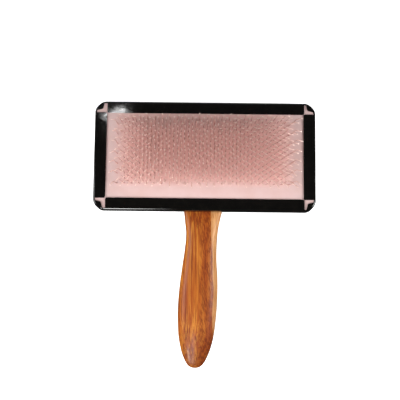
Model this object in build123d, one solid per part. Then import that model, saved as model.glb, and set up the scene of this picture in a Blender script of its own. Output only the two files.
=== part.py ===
from build123d import *
import math
import os
import random

# Slicker brush: a pressed steel pan on a wooden handle, holding a cushioned pad of bent wire pins.
#
# Millimetres and degrees throughout.
# The head's own frame has its origin in the middle of the pan's back, X across the brush,
# Y away from the handle and Z out through the pins.
# The table frame is level: the brush lies on its back on Z = 0, with the pan's back tilted.

# Pan
PAN_LENGTH = 149.7
PAN_WIDTH = 75.0
PAN_DEPTH = 7.5
SHEET = 0.5
CORNER_CUT = 5.0
CORNER_ROUND = 6.5
BACK_BEND = 2.5
RIM_BEND = 1.5

# Folded tabs that hold the pad
TAB_REACH = 8.25
TAB_END = 8.0
TAB_SHIFT = 0.35
TAB_ROUND = 1.3
SLIT_END = 0.8
CORNER_TAB_TIP = 5.4
CORNER_TAB_FLARE = 7.5

# Pad: rubber face on a cloth ply, over a foam cushion
PAD_INSET = 1.4
FACE_THICKNESS = 1.2
CLOTH_THICKNESS = 1.0
DOME_HEIGHT = 2.2
DOME_SHOULDER = 0.8
FOAM_INSET = 0.8
GLUE_GAP = 0.02
SLIP_GAP = 0.05
CROWN_POCKET = 0.6
CROWN_POCKET_MARGIN = 2.0

# Wire pins, each pair one U-shaped staple
WIRE_RADIUS = 0.25
LEG_SPACING = 5.0
STAPLE_PITCH = 10.0
ROW_SHIFT = 2.5
ROW_PITCH = 1.694
ROW_COUNT = 27
FIELD_LENGTH = 117.5
FIELD_CENTRE_Y = 2.7
LOWER_LEG = 7.0
UPPER_LEG = 7.5
LEAN_OUT = 8.0
LEAN_BACK = 21.0
LEAN_SIDE = 4.0
END_SPLAY = 20.0
FAR_SPLAY = 8.0
NEAR_SPLAY = 10.0
END_SPLAY_POWER = 2.4
SIDE_SPLAY_POWER = 2.5
LEAN_SCATTER = 4.0
CROWN_BEND = 0.5
KNEE_BEND = 1.2

# Wooden handle
TONGUE_THICKNESS = 6.5
TONGUE_END_Y = 27.0
TONGUE_END_ROUND = 6.0
TONGUE_EDGE_ROUND = 2.0
TONGUE_HALF_WIDTHS = [(-35.5, 11.8), (-34.0, 12.8), (-31.0, 14.4), (-27.0, 15.8), (-22.0, 16.7), (-15.0, 17.0)]

# Grip sections in the table frame: along Y, width, top height, bottom height,
# sideways offset and squareness (2 is an ellipse, more is boxier).
GRIP_SECTIONS = [
    (-27.0, 27.3, 15.4, 10.6, -0.3, 5.0),
    (-31.5, 26.7, 16.3, 9.9, -0.5, 5.0),
    (-35.8, 26.3, 17.3, 9.3, -0.7, 4.5),
    (-38.6, 24.9, 17.9, 8.7, -0.9, 4.0),
    (-41.3, 24.0, 18.4, 8.0, -1.05, 3.6),
    (-44.0, 23.2, 18.8, 7.2, -1.2, 3.3),
    (-49.4, 21.7, 19.2, 5.7, -1.35, 3.0),
    (-57.5, 21.3, 19.4, 4.0, -1.75, 2.7),
    (-68.5, 22.5, 19.2, 2.4, -2.5, 2.6),
    (-79.4, 24.7, 19.0, 1.2, -2.9, 2.5),
    (-90.4, 26.2, 18.9, 0.4, -3.4, 2.5),
    (-104.1, 26.5, 18.5, 0.0, -4.0, 2.4),
    (-115.0, 25.3, 17.6, 0.4, -4.4, 2.3),
    (-123.2, 23.4, 16.3, 1.2, -4.65, 2.2),
    (-128.7, 21.0, 15.0, 2.1, -4.8, 2.1),
    (-134.1, 17.7, 13.4, 3.5, -4.95, 2.0),
    (-138.0, 14.2, 12.1, 4.8, -5.05, 2.0),
    (-140.8, 10.7, 10.9, 6.0, -5.15, 2.0),
    (-142.4, 7.0, 9.8, 7.0, -5.2, 2.0),
]
GRIP_TIP = (-5.25, -143.2, 8.4)
SECTION_POINTS = 28

# Rivets and washers
RIVET_POSITIONS = {"near": -23.0, "middle": -2.0, "far": 19.0}
RIVET_RADIUS = 1.5
RIVET_HEAD_RADIUS = 3.3
RIVET_HEAD_DEPTH = 1.8
RIVET_TAIL_RADIUS = 2.6
RIVET_TAIL_HEIGHT = 0.7
RIVET_CLEARANCE = 0.03
WASHER_RADIUS = 4.0
WASHER_THICKNESS = 0.5
FOAM_POCKET_MARGIN = 0.3

# Rest on the table: the far end of the wooden tongue and the belly of the grip touch it
REST_TILT = 10.5

# Levels in the head's frame, from the pan's back upwards
TAB_UNDERSIDE = PAN_DEPTH - SHEET
FACE_TOP = TAB_UNDERSIDE - 0.03
FACE_BOTTOM = FACE_TOP - FACE_THICKNESS
CLOTH_TOP = FACE_BOTTOM - GLUE_GAP
CLOTH_BOTTOM = CLOTH_TOP - CLOTH_THICKNESS
FOAM_TOP = CLOTH_BOTTOM - SLIP_GAP
FOAM_BOTTOM = SHEET
DOME_HALF_X = PAN_LENGTH / 2 - TAB_REACH - 0.4
DOME_HALF_Y = PAN_WIDTH / 2 - TAB_REACH - 0.4


# ---------------------------------------------------------------- pan

def head_outline(inset):
    """The head's plan shape, moved inwards by inset: a rectangle with softened cut corners."""
    plate = Rectangle(PAN_LENGTH - 2 * inset, PAN_WIDTH - 2 * inset)
    cut = CORNER_CUT - inset * (2 - math.sqrt(2))
    plate = chamfer(plate.vertices(), cut)
    return fillet(plate.vertices(), CORNER_ROUND - inset)


def head_block(inset, bottom, top, bottom_round, top_round):
    """A solid of the head's plan shape between two levels, with rounded rims."""
    block = Pos(0, 0, bottom) * extrude(head_outline(inset), top - bottom)
    if bottom_round:
        block = fillet(block.faces().sort_by(Axis.Z)[0].edges(), bottom_round)
    if top_round:
        block = fillet(block.faces().sort_by(Axis.Z)[-1].edges(), top_round)
    return block


def long_tab(length, depth):
    """A folded tab seen from above: its root runs past the rim, its free corners are rounded."""
    tab = Rectangle(length, depth + 4)
    free_corners = tab.vertices().group_by(Axis.Y)[0]
    return Pos(0, 2 - depth / 2) * fillet(free_corners, TAB_ROUND)


def corner_tab():
    """The small tab folded in over a cut corner, with the corner itself at the origin."""
    outline = Polyline(
        (3, 3),
        (-CORNER_TAB_FLARE, 3),
        (-CORNER_TAB_TIP, -CORNER_TAB_TIP),
        (3, -CORNER_TAB_FLARE),
        close=True,
    )
    tab = make_face(outline)
    tip = tab.vertices().sort_by_distance((-CORNER_TAB_TIP, -CORNER_TAB_TIP))[0]
    return fillet(tip, TAB_ROUND)


def rim_opening():
    """The hole that the eight folded tabs leave: the pad's window and the slits at the corners."""
    opening = head_outline(SLIT_END)
    half_x = PAN_LENGTH / 2
    half_y = PAN_WIDTH / 2
    across = long_tab(PAN_LENGTH - 2 * TAB_END, TAB_REACH)
    beside = long_tab(PAN_WIDTH - 2 * TAB_END, TAB_REACH)
    opening -= Pos(TAB_SHIFT, half_y) * across
    opening -= Pos(TAB_SHIFT, -half_y) * Rot(0, 0, 180) * across
    opening -= Pos(half_x, 0) * Rot(0, 0, -90) * beside
    opening -= Pos(-half_x, 0) * Rot(0, 0, 90) * beside
    for side_x in (1, -1):
        for side_y in (1, -1):
            turn = math.degrees(math.atan2(side_y, side_x)) - 45
            opening -= Pos(side_x * half_x, side_y * half_y) * Rot(0, 0, turn) * corner_tab()
    return opening


def rivet_hole(y, radius, bottom, top):
    return Pos(0, y, bottom) * extrude(Circle(radius), top - bottom)


def make_pan():
    outside = head_block(0, 0, PAN_DEPTH, BACK_BEND, RIM_BEND)
    inside = head_block(SHEET, SHEET, TAB_UNDERSIDE, BACK_BEND - SHEET, RIM_BEND - SHEET)
    pan = outside - inside
    pan -= Pos(0, 0, PAN_DEPTH - 2 * RIM_BEND) * extrude(rim_opening(), 3 * RIM_BEND)
    for y in RIVET_POSITIONS.values():
        pan -= rivet_hole(y, RIVET_RADIUS + RIVET_CLEARANCE, -1, 2 * SHEET)
    return pan


# ---------------------------------------------------------------- pad

def dome_controls():
    return [0, DOME_SHOULDER, 1, 1, 1, DOME_SHOULDER, 0]


def dome_profile(t):
    """Height of the pad's bulge across one direction, for t from 0 to 1."""
    controls = dome_controls()
    degree = len(controls) - 1
    return sum(
        math.comb(degree, i) * t**i * (1 - t) ** (degree - i) * value
        for i, value in enumerate(controls)
    )


def dome_height(x, y):
    across = dome_profile((x + DOME_HALF_X) / (2 * DOME_HALF_X))
    along = dome_profile((y + DOME_HALF_Y) / (2 * DOME_HALF_Y))
    return DOME_HEIGHT * across * along


def dome_face(level):
    """The bulging surface inside the tabs, its straight edges at the given level."""
    controls = dome_controls()
    last = len(controls) - 1
    grid = []
    for i, across in enumerate(controls):
        x = DOME_HALF_X * (2 * i / last - 1)
        row = []
        for j, along in enumerate(controls):
            y = DOME_HALF_Y * (2 * j / last - 1)
            row.append((x, y, level + DOME_HEIGHT * across * along))
        grid.append(row)
    return Face.make_bezier_surface([[Vector(*point) for point in row] for row in grid])


def dome_slab(level, thickness):
    """The bulging middle of a sheet whose flat rim has its top at the given level."""
    return extrude(dome_face(level), thickness, dir=(0, 0, -1))


def pad_sheet(top, thickness):
    """One ply of the pad: flat where the tabs clamp it, bulging inside them."""
    rim = head_block(PAD_INSET, top - thickness, top, 0, 0)
    rim -= Pos(0, 0, top - thickness / 2) * Box(2 * DOME_HALF_X, 2 * DOME_HALF_Y, 2 * thickness)
    return rim + dome_slab(top, thickness)


def make_foam():
    foam = head_block(FOAM_INSET, FOAM_BOTTOM, FOAM_TOP, BACK_BEND - SHEET, 0)
    foam += dome_slab(FOAM_TOP, FOAM_TOP - FOAM_BOTTOM - 1)
    above = extrude(dome_face(FOAM_TOP - CROWN_POCKET), 3 * DOME_HEIGHT, dir=(0, 0, 1))
    field_width = (ROW_COUNT - 1) * ROW_PITCH
    pocket = Pos(0, FIELD_CENTRE_Y, FOAM_TOP) * Box(
        FIELD_LENGTH + 2 * CROWN_POCKET_MARGIN,
        field_width + 2 * CROWN_POCKET_MARGIN,
        6 * DOME_HEIGHT,
    )
    foam -= above & pocket
    for y in RIVET_POSITIONS.values():
        washer_room = WASHER_RADIUS + FOAM_POCKET_MARGIN
        washer_top = SHEET + WASHER_THICKNESS + FOAM_POCKET_MARGIN
        foam -= rivet_hole(y, washer_room, 0, washer_top)
        tail_room = RIVET_TAIL_RADIUS + FOAM_POCKET_MARGIN
        foam -= rivet_hole(y, tail_room, 0, washer_top + RIVET_TAIL_HEIGHT)
    return foam


# ---------------------------------------------------------------- pins

def rounded_path(points, radii):
    """A wire through straight legs, with the corners between them rounded."""
    points = [Vector(*point) for point in points]
    pieces = []
    start = points[0]
    for before, corner, after, radius in zip(points, points[1:], points[2:], radii):
        arriving = (corner - before).normalized()
        leaving = (after - corner).normalized()
        turn = math.radians(arriving.get_angle(leaving))
        setback = radius * math.tan(turn / 2)
        arc_start = corner - arriving * setback
        arc_end = corner + leaving * setback
        inwards = (leaving - arriving).normalized()
        arc_middle = corner + inwards * (radius / math.cos(turn / 2) - radius)
        pieces.append(Edge.make_line(start, arc_start))
        pieces.append(Edge.make_three_point_arc(arc_start, arc_middle, arc_end))
        start = arc_end
    pieces.append(Edge.make_line(start, points[-1]))
    return Wire(pieces)


def leg_direction(lean_x, lean_y):
    return Vector(
        math.tan(math.radians(lean_x)),
        math.tan(math.radians(lean_y)),
        1,
    ).normalized()


def crown_end(base, lower):
    """Where a leg going down through the sheets meets the wire lying against the cloth's underside."""
    crown = base
    for _ in range(6):
        level = CLOTH_BOTTOM - WIRE_RADIUS + dome_height(crown.X, crown.Y)
        crown = base - lower * ((base.Z - level) / lower.Z)
    return crown


def leg_points(x, y, scatter):
    """Where a pin's leg leaves its crown, bends at the knee and ends, for a pin based at x, y."""
    field_half_width = (ROW_COUNT - 1) * ROW_PITCH / 2
    out_x = x / (FIELD_LENGTH / 2)
    out_y = (y - FIELD_CENTRE_Y) / field_half_width
    edge_splay = FAR_SPLAY if out_y > 0 else NEAR_SPLAY
    splay_x = LEAN_SIDE + END_SPLAY * math.copysign(abs(out_x) ** END_SPLAY_POWER, out_x)
    splay_y = edge_splay * math.copysign(abs(out_y) ** SIDE_SPLAY_POWER, out_y)
    splay_x += scatter.uniform(-LEAN_SCATTER, LEAN_SCATTER)
    splay_y += scatter.uniform(-LEAN_SCATTER, LEAN_SCATTER)
    lower = leg_direction(splay_x, splay_y + LEAN_OUT)
    upper = leg_direction(splay_x, splay_y - LEAN_BACK)
    base = Vector(x, y, FACE_TOP + dome_height(x, y))
    knee = base + lower * LOWER_LEG
    tip = knee + upper * UPPER_LEG
    return crown_end(base, lower), knee, tip


def make_staple(x, y, scatter):
    left_crown, left_knee, left_tip = leg_points(x, y, scatter)
    right_crown, right_knee, right_tip = leg_points(x + LEG_SPACING, y, scatter)
    points = [left_tip, left_knee, left_crown, right_crown, right_knee, right_tip]
    path = rounded_path(points, [KNEE_BEND, CROWN_BEND, CROWN_BEND, KNEE_BEND])
    section = Plane(origin=left_tip, z_dir=left_knee - left_tip) * Circle(WIRE_RADIUS)
    return sweep(section, path).solid()


def make_staple_row(row, scatter):
    """One row of staples; each row stands one shift further along than the row before."""
    y = FIELD_CENTRE_Y + (row - (ROW_COUNT - 1) / 2) * ROW_PITCH
    start = (row * ROW_SHIFT) % STAPLE_PITCH
    staples = []
    while start + LEG_SPACING <= FIELD_LENGTH:
        staples.append(make_staple(start - FIELD_LENGTH / 2, y, scatter))
        start += STAPLE_PITCH
    return Compound(staples)


# ---------------------------------------------------------------- handle

def superellipse(width, height, squareness):
    """Points around a rounded section, from ellipse to rounded box."""
    points = []
    for i in range(SECTION_POINTS):
        angle = 2 * math.pi * (i + 0.5) / SECTION_POINTS
        along = math.copysign(abs(math.cos(angle)) ** (2 / squareness), math.cos(angle))
        up = math.copysign(abs(math.sin(angle)) ** (2 / squareness), math.sin(angle))
        points.append((along * width / 2, up * height / 2))
    return points


def grip_section(y, width, top, bottom, offset, squareness):
    outline = superellipse(width, top - bottom, squareness)
    middle = (top + bottom) / 2
    points = [(offset + x, y, middle + z) for x, z in outline]
    return make_face(Spline(*points, periodic=True))


def make_grip():
    """The hand grip, in the table frame."""
    sections = [grip_section(*section) for section in GRIP_SECTIONS]
    return loft(sections + [Vertex(*GRIP_TIP)])


def make_tongue():
    """The flat part of the handle that lies on the pan's back, in the head's frame."""
    right = [(half, y) for y, half in TONGUE_HALF_WIDTHS]
    left = [(-half, y) for y, half in TONGUE_HALF_WIDTHS]
    flare_right = Spline(*right)
    flare_left = Spline(*left)
    rest = [
        Line(left[0], right[0]),
        Line(right[-1], (right[-1][0], TONGUE_END_Y)),
        Line((right[-1][0], TONGUE_END_Y), (left[-1][0], TONGUE_END_Y)),
        Line((left[-1][0], TONGUE_END_Y), left[-1]),
    ]
    outline = make_face(Wire([flare_right.edge(), flare_left.edge()] + [line.edge() for line in rest]))
    end_corners = outline.vertices().group_by(Axis.Y)[-1]
    outline = fillet(end_corners, TONGUE_END_ROUND)
    tongue = Pos(0, 0, -TONGUE_THICKNESS) * extrude(outline, TONGUE_THICKNESS)
    back_edges = tongue.faces().sort_by(Axis.Z)[0].edges()
    near_edge = back_edges.sort_by(Axis.Y)[0]
    return fillet([edge for edge in back_edges if edge != near_edge], TONGUE_EDGE_ROUND)


def rivet_body(y, clearance):
    """A rivet, or the room it needs in the wood: a shank with a cone-shaped flush head."""
    radius = RIVET_RADIUS + clearance
    head_radius = RIVET_HEAD_RADIUS + clearance
    shank_top = SHEET + WASHER_THICKNESS
    half_section = Polyline(
        (0, -TONGUE_THICKNESS),
        (head_radius, -TONGUE_THICKNESS),
        (radius, -TONGUE_THICKNESS + RIVET_HEAD_DEPTH),
        (radius, shank_top),
        (0, shank_top),
        close=True,
    )
    section = Plane.XZ * make_face(half_section)
    return Pos(0, y, 0) * revolve(section, Axis.Z)


def make_rivet(y):
    tail = Pos(0, y, SHEET + WASHER_THICKNESS) * extrude(Circle(RIVET_TAIL_RADIUS), RIVET_TAIL_HEIGHT)
    tail = fillet(tail.faces().sort_by(Axis.Z)[-1].edges(), RIVET_TAIL_HEIGHT / 2)
    return rivet_body(y, 0) + tail


def make_washer(y):
    ring = Circle(WASHER_RADIUS) - Circle(RIVET_RADIUS + RIVET_CLEARANCE)
    return Pos(0, y, SHEET) * extrude(ring, WASHER_THICKNESS)


def make_handle(head_place):
    """Grip and tongue as one piece of wood, in the table frame."""
    grip = make_grip()
    pan_room = head_place * (Pos(0, 0, PAN_DEPTH) * Box(PAN_LENGTH, PAN_WIDTH, 2 * PAN_DEPTH))
    handle = (grip - pan_room) + head_place * make_tongue()
    for y in RIVET_POSITIONS.values():
        handle -= head_place * rivet_body(y, RIVET_CLEARANCE)
    return handle


# ---------------------------------------------------------------- the whole brush

def head_height():
    """How high the middle of the pan's back stands when the tongue's far end touches the table."""
    tilt = math.radians(REST_TILT)
    edge_y = TONGUE_END_Y - TONGUE_EDGE_ROUND
    edge_z = -TONGUE_THICKNESS + TONGUE_EDGE_ROUND
    return edge_y * math.sin(tilt) - edge_z * math.cos(tilt) + TONGUE_EDGE_ROUND


def make_brush():
    """Every piece by name, lying on its back on the table."""
    head_place = Pos(0, 0, head_height()) * Rot(-REST_TILT, 0, 0)
    head = {
        "pan": make_pan(),
        "foam_cushion": make_foam(),
        "pad_cloth": pad_sheet(CLOTH_TOP, CLOTH_THICKNESS),
        "pad_face": pad_sheet(FACE_TOP, FACE_THICKNESS),
    }
    for name, y in RIVET_POSITIONS.items():
        head["rivet_" + name] = make_rivet(y)
        head["washer_" + name] = make_washer(y)
    scatter = random.Random(11)
    for row in range(ROW_COUNT):
        head["staple_row_%02d" % (row + 1)] = make_staple_row(row, scatter)
    pieces = {name: head_place * shape for name, shape in head.items()}
    pieces["handle"] = make_handle(head_place)
    return pieces


def main():
    os.makedirs("parts", exist_ok=True)
    pieces = make_brush()
    box = Compound(list(pieces.values())).bounding_box()
    centring = Pos(-(box.min.X + box.max.X) / 2, -(box.min.Y + box.max.Y) / 2, -box.min.Z)
    for name, shape in pieces.items():
        export_step(centring * shape, "parts/" + name + ".step")


main()
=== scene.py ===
import math

import bmesh
import bpy
from mathutils import Matrix, Vector, noise


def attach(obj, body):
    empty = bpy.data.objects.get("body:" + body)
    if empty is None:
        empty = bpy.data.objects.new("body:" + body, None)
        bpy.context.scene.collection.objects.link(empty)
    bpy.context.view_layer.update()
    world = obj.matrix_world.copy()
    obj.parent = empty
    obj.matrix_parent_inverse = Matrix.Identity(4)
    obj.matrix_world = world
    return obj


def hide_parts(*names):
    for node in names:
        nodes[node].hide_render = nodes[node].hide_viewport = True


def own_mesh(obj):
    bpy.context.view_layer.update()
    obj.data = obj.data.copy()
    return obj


# Lengths are in metres. The head's own frame has its origin in the middle of the pan's back,
# X across the brush, Y away from the grip and Z out through the pins.
MM = 0.001

REST_TILT = math.radians(10.5)
HEAD_ORIGIN = Vector((0, 52.594 * MM, 10.981 * MM))
HEAD_NORMAL = Vector((0, math.sin(REST_TILT), math.cos(REST_TILT)))

# Head
PAN_HALF = (74.85 * MM, 37.5 * MM)
CORNER_CUT = 5.0 * MM
PAN_FLOOR = 0.5 * MM
PAD_INSET = 1.4 * MM
FACE_TOP = 6.97 * MM
FACE_THICKNESS = 1.2 * MM
CLOTH_TOP = 5.75 * MM
CLOTH_THICKNESS = 1.0 * MM
FOAM_TOP = 4.7 * MM
DOME_HEIGHT = 2.2 * MM
DOME_CONTROLS = (0, 0.8, 1, 1, 1, 0.8, 0)
DOME_HALF = (66.2 * MM, 28.85 * MM)
# The top of the bulge, measured along HEAD_NORMAL from the table frame's origin
PAD_LEVEL = HEAD_ORIGIN.dot(HEAD_NORMAL) + FACE_TOP + DOME_HEIGHT

# Pins
ROW_COUNT = 27
ROW_PITCH = 1.694 * MM
STAPLE_PITCH = 10.0 * MM
LEG_SPACING = 5.0 * MM
ROW_SHIFT = 2.5 * MM
FIELD_LENGTH = 117.5 * MM
FIELD_CENTRE_Y = 2.7 * MM
FIELD_SLACK = 0.01 * MM

# Surface of the soft pieces
GRID_STEP = 0.6 * MM
MERGE_DISTANCE = 0.02 * MM
PUCKER_CELL = 2 * MM
PUCKER_RADIUS = 0.9 * MM
PUCKER_DEPTH = 0.16 * MM
SWELL_SIZE = 9 * MM
SWELL_HEIGHT = 0.12 * MM
SWELL_FADE = 0.5 * MM
FOAM_INSET = 2.2 * MM
FOAM_SINK = 0.5 * MM
FOAM_SINK_FADE = 0.6 * MM

# Where the colours change. A pair is the start and the end of a gradual change.
GRAIN_WANDER = 2.5 * MM
HEART_EDGE = (-4.0 * MM, -1.5 * MM)
# The next three values set the pale band up the grip's right side, which is partly sapwood and
# partly a painted highlight of the lamp on that side.
SAP_AND_HIGHLIGHT_EDGE = (5.0 * MM, 5.9 * MM)
SAP_AND_HIGHLIGHT_SLANT = 0.031
SAP_AND_HIGHLIGHT_ALONG = (-90 * MM, -30 * MM)
# Where the grip grows darker towards its tip.
TIP_DARKENING = (-86 * MM, -60 * MM)
# Where the painted bounce light among the pins fades in and out.
PIN_BOUNCE_SIDE = (FIELD_LENGTH / 2 + 3 * MM, FIELD_LENGTH / 2 - 8 * MM)
PIN_BOUNCE_NEAR = (-20.5 * MM, -14 * MM)
PIN_BOUNCE_FAR = (4 * MM, 24 * MM)
# How far up the wires the painted shade near the pad reaches.
PIN_SHADE_HEIGHT = 8 * MM

# Stage
FLOOR_HALF = 3
FLOOR_GAP = 0.1 * MM
WORLD_STRENGTH = 0.05
LIGHT_TARGET = Vector((0, 0.02, 0.02))
CAMERA_PLACE = (-2.91 * MM, 24.18 * MM, 0.834)
CAMERA_ROLL = 0.0113
CAMERA_LENS = 108.8
SENSOR_WIDTH = 36


# ---------------------------------------------------------------- nodes

class Nodes:
    """A material's node tree, with short ways to add and join nodes."""

    def __init__(self, name):
        self.material = bpy.data.materials.new(name)
        self.material.use_nodes = True
        self.tree = self.material.node_tree
        self.shader = self.tree.nodes["Principled BSDF"]

    def add(self, kind, inputs=None, **settings):
        node = self.tree.nodes.new(kind)
        for key, value in settings.items():
            setattr(node, key, value)
        for key, value in (inputs or {}).items():
            self.feed(node.inputs[key], value)
        return node

    def feed(self, socket, value):
        if isinstance(value, bpy.types.NodeSocket):
            self.tree.links.new(value, socket)
        else:
            socket.default_value = value

    def surface(self, **values):
        """Sets the Principled shader's sockets; underscores stand for spaces."""
        for key, value in values.items():
            self.feed(self.shader.inputs[key.replace("_", " ")], value)

    def place(self, scale, turn=0.0):
        """Object coordinates in metres, turned about Z by turn, then times scale."""
        coords = self.add("ShaderNodeTexCoord").outputs["Object"]
        turned = self.add("ShaderNodeMapping", {"Vector": coords, "Rotation": (0, 0, turn)})
        return self.add("ShaderNodeMapping", {
            "Vector": turned.outputs["Vector"],
            "Scale": scale,
        }).outputs["Vector"]

    def noise(self, scale, detail, roughness=0.55, distortion=0.0, turn=0.0):
        return self.add("ShaderNodeTexNoise", {
            "Vector": self.place(scale, turn),
            "Scale": 1.0,
            "Detail": detail,
            "Roughness": roughness,
            "Distortion": distortion,
        }).outputs["Fac"]

    def ramp(self, fac, stops):
        node = self.add("ShaderNodeValToRGB", {"Fac": fac})
        elements = node.color_ramp.elements
        while len(elements) < len(stops):
            elements.new(0.5)
        for element, (position, colour) in zip(elements, stops):
            element.position = position
            element.color = colour
        return node.outputs["Color"]

    def level(self, fac, low, high, to_low=0.0, to_high=1.0):
        return self.add("ShaderNodeMapRange", {
            "Value": fac,
            "From Min": low,
            "From Max": high,
            "To Min": to_low,
            "To Max": to_high,
        }).outputs["Result"]

    def math(self, operation, a, b):
        node = self.add("ShaderNodeMath", operation=operation)
        self.feed(node.inputs[0], a)
        self.feed(node.inputs[1], b)
        return node.outputs["Value"]

    def mix(self, fac, a, b, blend="MIX"):
        """Mixes two colours. Inputs 6 and 7 and output 2 are the node's colour sockets."""
        node = self.add("ShaderNodeMix", data_type="RGBA", blend_type=blend)
        self.feed(node.inputs["Factor"], fac)
        self.feed(node.inputs[6], a)
        self.feed(node.inputs[7], b)
        return node.outputs[2]

    def bump(self, height, strength, distance, under=None):
        node = self.add("ShaderNodeBump", {
            "Strength": strength,
            "Distance": distance,
            "Height": height,
        })
        if under is not None:
            self.feed(node.inputs["Normal"], under)
        return node.outputs["Normal"]


def linear(value):
    """A screen value from 0 to 255 as linear light from 0 to 1."""
    value /= 255
    return value / 12.92 if value <= 0.04045 else ((value + 0.055) / 1.055) ** 2.4


def rgba(red, green, blue):
    """The opaque linear colour for three screen values."""
    return linear(red), linear(green), linear(blue), 1


# ---------------------------------------------------------------- materials

def wood_material():
    n = Nodes("varnished_wood")
    bands = n.noise((300, 9, 300), 3, 0.55, 0.3)
    streaks = n.noise((760, 20, 760), 3, 0.6, 0.3)
    lines = n.noise((1900, 34, 1300), 3, 0.65, 0.2)
    flecks = n.noise((1300, 210, 900), 2, 0.5, 0.4, turn=math.radians(-16))
    pores = n.noise((4200, 420, 4200), 2, 0.5)
    wander = n.noise((60, 22, 60), 2)
    spot = n.add("ShaderNodeSeparateXYZ", {"Vector": n.place((1, 1, 1))})
    place = n.math("ADD", spot.outputs["X"], n.level(wander, 0, 1, -GRAIN_WANDER, GRAIN_WANDER))
    heart = n.level(place, *HEART_EDGE)
    # Partly sapwood, partly painted highlight: a pale band up the grip's right side that follows
    # its edge and is strongest near the head, standing in for the varnish's reflection of the
    # right-hand lamp.
    slanted = n.math("ADD", place, n.math("MULTIPLY", spot.outputs["Y"], SAP_AND_HIGHLIGHT_SLANT))
    sapwood_and_highlight = n.math(
        "MULTIPLY",
        n.level(slanted, *SAP_AND_HIGHLIGHT_EDGE),
        n.level(spot.outputs["Y"], *SAP_AND_HIGHLIGHT_ALONG, 0.45, 0.9),
    )
    colour = n.ramp(bands, [
        (0.34, rgba(136, 60, 16)),
        (0.46, rgba(158, 78, 22)),
        (0.56, rgba(172, 94, 28)),
        (0.68, rgba(194, 121, 44)),
    ])
    yellow = n.math("MULTIPLY", n.level(streaks, 0.50, 0.60), n.math("SUBTRACT", 1.0, heart))
    colour = n.mix(n.math("MULTIPLY", yellow, 0.70), colour, rgba(200, 128, 46))
    colour = n.mix(n.math("MULTIPLY", heart, 0.40), colour, rgba(150, 66, 22))
    dark_flecks = n.math("MULTIPLY", n.level(flecks, 0.48, 0.56), heart)
    colour = n.mix(n.math("MULTIPLY", dark_flecks, 0.65), colour, rgba(106, 40, 10))
    colour = n.mix(n.level(lines, 0.52, 0.60, 0.0, 0.85), colour, rgba(108, 44, 10))
    streaked = n.level(streaks, 0.44, 0.60, 0.0, 0.8)
    # Colours of the pale right-side band, partly sapwood and partly painted highlight.
    sapwood_and_highlight_colour = n.mix(streaked, rgba(226, 171, 113), rgba(203, 141, 84))
    sapwood_and_highlight_colour = n.mix(n.level(lines, 0.50, 0.62, 0.0, 0.7), sapwood_and_highlight_colour, rgba(176, 108, 56))
    colour = n.mix(sapwood_and_highlight, colour, sapwood_and_highlight_colour)
    # The grip is darker towards its tip.
    darker_towards_tip = n.level(spot.outputs["Y"], *TIP_DARKENING, 1.0, 0.0)
    colour = n.mix(darker_towards_tip, colour, rgba(205, 196, 188), "MULTIPLY")
    n.surface(
        Base_Color=colour,
        Roughness=n.level(lines, 0.3, 0.7, 0.46, 0.58),
        Specular_IOR_Level=0.2,
        Normal=n.bump(pores, 0.22, 0.08 * MM, n.bump(lines, 0.12, 0.10 * MM)),
        Coat_Weight=0.12,
        Coat_Roughness=0.22,
    )
    return n.material


def enamel_material():
    n = Nodes("black_painted_steel")
    peel = n.noise((450, 450, 450), 2, 0.4)
    wave = n.noise((70, 70, 70), 2, 0.4)
    dust = n.noise((260, 260, 260), 5, 0.7)
    specks = n.noise((2400, 2400, 2400), 1, 0.3)
    colour = n.mix(n.level(dust, 0.45, 0.75), rgba(7, 6, 5), rgba(16, 14, 11))
    colour = n.mix(n.level(specks, 0.80, 0.86, 0.0, 0.5), colour, rgba(90, 84, 76))
    shape = n.bump(wave, 0.16, 0.25 * MM)
    n.surface(
        Base_Color=colour,
        Roughness=n.level(dust, 0.3, 0.8, 0.03, 0.08),
        Normal=n.bump(peel, 0.10, 0.04 * MM, shape),
        Specular_IOR_Level=0.6,
    )
    return n.material


def rubber_material():
    n = Nodes("pad_rubber")
    mottle = n.noise((90, 90, 90), 4, 0.6)
    skin = n.noise((2600, 2600, 2600), 3, 0.6)
    colour = n.mix(n.level(mottle, 0.35, 0.65), rgba(209, 178, 173), rgba(214, 186, 183))
    # Painted light: among the pins the rubber turns a brighter, more saturated pink. This stands
    # in for the pink light bounced between the pad and the wires in their shade, and it is a
    # little weaker towards the far edge.
    spot = n.add("ShaderNodeSeparateXYZ", {"Vector": n.place((1, 1, 1))})
    from_side = n.math("ABSOLUTE", spot.outputs["X"], 0.0)
    along = n.math("SUBTRACT", spot.outputs["Y"], HEAD_ORIGIN.y)
    past_near_edge = n.level(along, *PIN_BOUNCE_NEAR)
    towards_far_edge = n.level(along, *PIN_BOUNCE_FAR, 1.0, 0.9)
    painted_bounce_among_pins = n.math(
        "MULTIPLY",
        n.level(from_side, *PIN_BOUNCE_SIDE),
        n.math("MULTIPLY", past_near_edge, towards_far_edge),
    )
    colour = n.mix(painted_bounce_among_pins, colour, rgba(238, 195, 188))
    n.surface(
        Base_Color=colour,
        Roughness=n.level(skin, 0.3, 0.7, 0.55, 0.72),
        Normal=n.bump(skin, 0.3, 0.08 * MM),
        Specular_IOR_Level=0.35,
    )
    return n.material


def weave_height(n):
    """Threads over and under, running along and across the head."""
    warp, weft = [
        n.add("ShaderNodeTexWave", {
            "Vector": n.place((1, 1, 1)), "Scale": 420.0, "Distortion": 1.2, "Detail": 1.0,
        }, wave_type="BANDS", bands_direction=direction).outputs["Fac"]
        for direction in ("X", "Y")
    ]
    return n.math("MULTIPLY", warp, weft)


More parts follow.
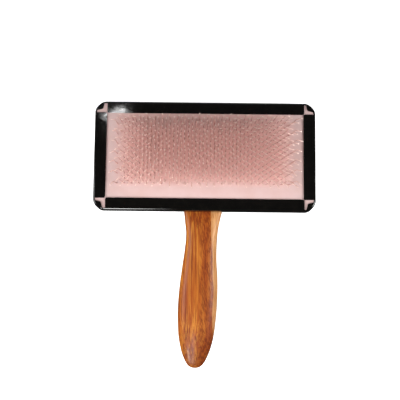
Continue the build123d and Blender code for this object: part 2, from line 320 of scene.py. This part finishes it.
def cloth_material():
    n = Nodes("pad_cloth")
    weave = weave_height(n)
    slub = n.noise((300, 900, 300), 3, 0.6)
    colour = n.mix(weave, rgba(150, 138, 116), rgba(214, 204, 184))
    colour = n.mix(n.level(slub, 0.5, 0.8, 0.0, 0.4), colour, rgba(178, 160, 130))
    n.surface(
        Base_Color=colour,
        Roughness=0.9,
        Normal=n.bump(weave, 0.7, 0.2 * MM),
        Sheen_Weight=0.25,
    )
    return n.material


def foam_material():
    n = Nodes("foam")
    cells = n.add("ShaderNodeTexVoronoi", {
        "Vector": n.place((1, 1, 1)), "Scale": 1600.0,
    }).outputs["Distance"]
    age = n.noise((60, 60, 60), 3, 0.6)
    colour = n.mix(n.level(cells, 0.1, 0.6), rgba(206, 192, 160), rgba(232, 222, 196))
    colour = n.mix(n.level(age, 0.5, 0.8, 0.0, 0.35), colour, rgba(204, 178, 128))
    n.surface(
        Base_Color=colour,
        Roughness=0.95,
        Normal=n.bump(cells, 0.8, 0.3 * MM),
    )
    return n.material


def wire_material():
    n = Nodes("pin_wire")
    drawn = n.noise((5000, 5000, 300), 2, 0.5)
    stain = n.noise((220, 220, 220), 3, 0.6)
    # The wire's pale pink is painted reflection of the pink pad; bare steel would be near neutral.
    # The stain noise varies the tone at random.
    colour = n.mix(n.level(stain, 0.45, 0.75), rgba(255, 229, 219), rgba(248, 209, 197))
    # Painted shade: the wires darken towards the pad, where they stand in each other's shade.
    spot = n.add("ShaderNodeSeparateXYZ", {"Vector": n.place((1, 1, 1))})
    height = n.math(
        "ADD",
        n.math("MULTIPLY", spot.outputs["Y"], math.sin(REST_TILT)),
        n.math("MULTIPLY", spot.outputs["Z"], math.cos(REST_TILT)),
    )
    painted_shade_near_pad = n.level(height, PAD_LEVEL, PAD_LEVEL + PIN_SHADE_HEIGHT, 0.9, 0.0)
    colour = n.mix(painted_shade_near_pad, colour, rgba(186, 124, 112))
    n.surface(
        Base_Color=colour,
        Metallic=0.3,
        Roughness=n.level(drawn, 0.3, 0.7, 0.24, 0.36),
        Normal=n.bump(drawn, 0.1, 0.02 * MM),
    )
    return n.material


def plain_metal_material(name, light, dark, rough):
    n = Nodes(name)
    wear = n.noise((900, 900, 900), 4, 0.6)
    n.surface(
        Base_Color=n.mix(n.level(wear, 0.4, 0.7), rgba(*light), rgba(*dark)),
        Metallic=1.0,
        Roughness=n.level(wear, 0.3, 0.7, rough, rough + 0.14),
        Normal=n.bump(wear, 0.15, 0.05 * MM),
    )
    return n.material


def floor_material():
    n = Nodes("floor_white")
    n.surface(
        Base_Color=(0.9, 0.9, 0.9, 1),
        Roughness=0.9,
        Emission_Color=(1, 1, 1, 1),
        Emission_Strength=0.9,
    )
    return n.material


# ---------------------------------------------------------------- soft pieces

def head_matrix():
    """Takes the head's own frame to the table's."""
    return Matrix.Translation(HEAD_ORIGIN) @ Matrix.Rotation(-REST_TILT, 4, "X")


def dome_profile(t):
    """The bulge's height from 0 to 1 along a smooth curve, as t goes from edge to edge."""
    degree = len(DOME_CONTROLS) - 1
    return sum(
        math.comb(degree, i) * t**i * (1 - t) ** (degree - i) * value
        for i, value in enumerate(DOME_CONTROLS)
    )


def dome_height(x, y):
    """How high the pad bulges between the tabs. It is flat under them."""
    if abs(x) >= DOME_HALF[0] or abs(y) >= DOME_HALF[1]:
        return 0.0
    across = dome_profile((x / DOME_HALF[0] + 1) / 2)
    along = dome_profile((y / DOME_HALF[1] + 1) / 2)
    return DOME_HEIGHT * across * along


def pin_bases():
    """Every pin's place on the pad, row by row, each row one shift further along."""
    bases = []
    for row in range(ROW_COUNT):
        y = FIELD_CENTRE_Y + (row - (ROW_COUNT - 1) / 2) * ROW_PITCH
        start = (row * ROW_SHIFT) % STAPLE_PITCH
        while start + LEG_SPACING <= FIELD_LENGTH + FIELD_SLACK:
            for x in (start, start + LEG_SPACING):
                bases.append((x - FIELD_LENGTH / 2, y))
            start += STAPLE_PITCH
    return bases


def sheet_piece(name, inset, top, thickness, shape):
    """A closed sheet or block of the head's plan shape, inset from the pan's outline.

    shape(x, y) lifts its top surface, and thickness(x, y) is how far down it goes from there.
    """
    half_x = PAN_HALF[0] - inset
    half_y = PAN_HALF[1] - inset
    cut = CORNER_CUT - inset * (2 - math.sqrt(2))
    columns = round(2 * half_x / GRID_STEP)
    rows = round(2 * half_y / GRID_STEP)
    mesh = bmesh.new()
    grid = []
    for i in range(columns + 1):
        line = []
        for j in range(rows + 1):
            x = half_x * (2 * i / columns - 1)
            y = half_y * (2 * j / rows - 1)
            beyond = abs(x) + abs(y) - (half_x + half_y - cut)
            if beyond > 0:
                x -= math.copysign(beyond / 2, x)
                y -= math.copysign(beyond / 2, y)
            line.append(mesh.verts.new((x, y, top + shape(x, y))))
        grid.append(line)
    for i in range(columns):
        for j in range(rows):
            corners = (grid[i][j], grid[i + 1][j], grid[i + 1][j + 1], grid[i][j + 1])
            mesh.faces.new(corners)
    bmesh.ops.remove_doubles(mesh, verts=mesh.verts, dist=MERGE_DISTANCE)
    top_faces = list(mesh.faces)
    below = bmesh.ops.duplicate(mesh, geom=mesh.verts[:] + mesh.edges[:] + top_faces)
    twins = below["vert_map"]
    for vert in [v for v in below["geom"] if isinstance(v, bmesh.types.BMVert)]:
        vert.co.z -= thickness(vert.co.x, vert.co.y)
    lower_faces = [face for face in below["geom"] if isinstance(face, bmesh.types.BMFace)]
    bmesh.ops.reverse_faces(mesh, faces=lower_faces)
    rim = [e for face in top_faces for e in face.edges if e.is_boundary]
    for edge in rim:
        a, b = edge.verts
        mesh.faces.new((a, b, twins[b], twins[a]))
    bmesh.ops.recalc_face_normals(mesh, faces=mesh.faces)
    mesh.transform(head_matrix())
    data = bpy.data.meshes.new(name)
    mesh.to_mesh(data)
    mesh.free()
    for polygon in data.polygons:
        polygon.use_smooth = True
    piece = bpy.data.objects.new(name, data)
    bpy.context.scene.collection.objects.link(piece)
    return piece


def pin_cells():
    """The pins' places grouped by the square cell each one is in."""
    cells = {}
    for x, y in pin_bases():
        key = (round(x / PUCKER_CELL), round(y / PUCKER_CELL))
        cells.setdefault(key, []).append((x, y))
    return cells


def pucker(cells, x, y):
    """How deep the rubber is drawn in at a place, by the small pit round each wire."""
    column, row = round(x / PUCKER_CELL), round(y / PUCKER_CELL)
    depth = 0.0
    for i in (column - 1, column, column + 1):
        for j in (row - 1, row, row + 1):
            for bx, by in cells.get((i, j), ()):
                away = math.hypot(x - bx, y - by) / PUCKER_RADIUS
                if away < 1:
                    depth = max(depth, (1 - away * away) ** 2)
    return depth * PUCKER_DEPTH


def make_pad_face():
    cells = pin_cells()

    def shape(x, y):
        swell = noise.noise(Vector((x, y, 0)) / SWELL_SIZE) * SWELL_HEIGHT
        fade = min(1.0, dome_height(x, y) / SWELL_FADE)
        return dome_height(x, y) + swell * fade - pucker(cells, x, y)

    piece = sheet_piece(
        "pad_rubber_sheet", PAD_INSET, FACE_TOP, lambda x, y: FACE_THICKNESS, shape
    )
    piece.data.materials.append(rubber_material())
    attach(piece, "pin_pad")
    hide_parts("pad_face")


def make_pad_cloth():
    piece = sheet_piece(
        "pad_cloth_ply", PAD_INSET, CLOTH_TOP, lambda x, y: CLOTH_THICKNESS, dome_height
    )
    piece.data.materials.append(cloth_material())
    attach(piece, "pin_pad")
    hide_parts("pad_cloth")


def make_foam():
    """The cushion under the pad: crowned, and a little clear of the cloth in its middle."""
    flat = FOAM_TOP - PAN_FLOOR

    def shape(x, y):
        return dome_height(x, y) - FOAM_SINK * min(1.0, dome_height(x, y) / FOAM_SINK_FADE)

    piece = sheet_piece("foam_block", FOAM_INSET, FOAM_TOP, lambda x, y: flat + shape(x, y), shape)
    piece.data.materials.append(foam_material())
    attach(piece, "head_and_handle")
    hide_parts("foam_cushion")
    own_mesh(piece)


# ---------------------------------------------------------------- finish, stage, light, camera

def dress(nodes, names, material):
    """Gives CAD nodes one material and smooth shading."""
    for name in names:
        piece = nodes[name]
        piece.data.materials.clear()
        piece.data.materials.append(material)
        for polygon in piece.data.polygons:
            polygon.use_smooth = True


def make_floor():
    data = bpy.data.meshes.new("floor")
    signs = ((-1, -1), (1, -1), (1, 1), (-1, 1))
    corners = [(x * FLOOR_HALF, y * FLOOR_HALF, 0) for x, y in signs]
    data.from_pydata(corners, [], [(0, 1, 2, 3)])
    floor = bpy.data.objects.new("floor", data)
    bpy.context.scene.collection.objects.link(floor)
    floor.location.z = -FLOOR_GAP
    data.materials.append(floor_material())
    floor.visible_diffuse = False
    floor.visible_glossy = False


def add_softbox(name, place, size, energy):
    data = bpy.data.lights.new(name, "AREA")
    data.shape = "RECTANGLE"
    data.size, data.size_y = size
    data.energy = energy
    light = bpy.data.objects.new(name, data)
    light.location = place
    light.rotation_euler = (LIGHT_TARGET - Vector(place)).to_track_quat("-Z", "Y").to_euler()
    bpy.context.scene.collection.objects.link(light)


def light_scene():
    world = bpy.data.worlds.new("studio")
    world.use_nodes = True
    background = world.node_tree.nodes["Background"]
    background.inputs["Color"].default_value = (1, 1, 1, 1)
    background.inputs["Strength"].default_value = WORLD_STRENGTH
    bpy.context.scene.world = world
    add_softbox("key", (-0.42, -0.62, 0.46), (0.16, 0.12), 3.7)
    add_softbox("strip", (-0.13, -0.50, 0.52), (0.12, 0.40), 2.6)
    add_softbox("tab_glint", (-0.128, 0.473, 0.85), (0.032, 0.003), 0.018)
    add_softbox("left_panel", (-0.80, 0.02, 0.38), (0.5, 0.40), 5.8)
    add_softbox("right_panel", (0.70, -0.02, 0.38), (0.4, 0.34), 5.9)
    add_softbox("back_panel", (0.05, 0.80, 0.26), (0.8, 0.20), 0.8)


def make_camera():
    data = bpy.data.cameras.new("camera")
    data.sensor_width = SENSOR_WIDTH
    data.lens = CAMERA_LENS
    camera = bpy.data.objects.new("camera", data)
    camera.location = CAMERA_PLACE
    camera.rotation_euler = (0, 0, CAMERA_ROLL)
    bpy.context.scene.collection.objects.link(camera)
    bpy.context.scene.camera = camera


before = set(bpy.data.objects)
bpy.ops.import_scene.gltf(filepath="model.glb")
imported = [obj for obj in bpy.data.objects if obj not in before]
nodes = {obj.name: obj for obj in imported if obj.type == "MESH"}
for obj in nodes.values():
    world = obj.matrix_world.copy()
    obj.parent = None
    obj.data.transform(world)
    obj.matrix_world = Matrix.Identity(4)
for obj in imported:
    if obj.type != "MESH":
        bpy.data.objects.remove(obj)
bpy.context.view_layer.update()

dress(nodes, ["handle"], wood_material())
dress(nodes, ["pan"], enamel_material())
dress(nodes, ["staple_row_%02d" % (row + 1) for row in range(ROW_COUNT)], wire_material())
dress(nodes, ["rivet_near", "rivet_middle", "rivet_far"],
      plain_metal_material("rivet_brass", (206, 168, 96), (150, 112, 60), 0.28))
dress(nodes, ["washer_near", "washer_middle", "washer_far"],
      plain_metal_material("washer_steel", (190, 190, 188), (140, 138, 132), 0.35))
make_pad_face()
make_pad_cloth()
make_foam()
make_floor()
light_scene()
make_camera()
bpy.context.scene.view_settings.view_transform = "Standard"
